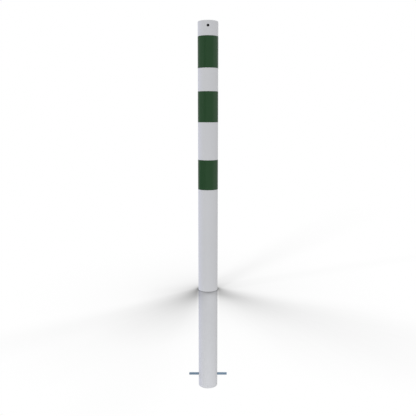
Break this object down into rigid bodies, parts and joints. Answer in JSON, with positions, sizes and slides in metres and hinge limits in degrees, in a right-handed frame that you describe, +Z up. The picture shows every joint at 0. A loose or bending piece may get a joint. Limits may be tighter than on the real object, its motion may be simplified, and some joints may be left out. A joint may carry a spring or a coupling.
{
  "type": "barrier post",
  "caption": "Round white steel post for setting in concrete, with a closed flat top, green reflective bands, a hanging hole and a cross rod through its buried end.",
  "frame": {"origin": "on the tube's axis at ground level", "axes": "+Z up along the tube's axis, -Y out of the hanging hole, X along the anchor rod"},
  "size_m": [0.154, 0.0772, 1.432],
  "materials": {
    "white_coat": "white powder coat over galvanised steel, satin",
    "green_film": "dark green reflective film",
    "zinc_steel": "zinc-plated bar, bluish grey"
  },
  "bodies": {
    "root": {"post_tube": "white_coat", "top_cap": "white_coat", "band_upper": "green_film", "band_middle": "green_film", "band_lower": "green_film", "anchor_rod": "zinc_steel"}
  },
  "joints": []
}
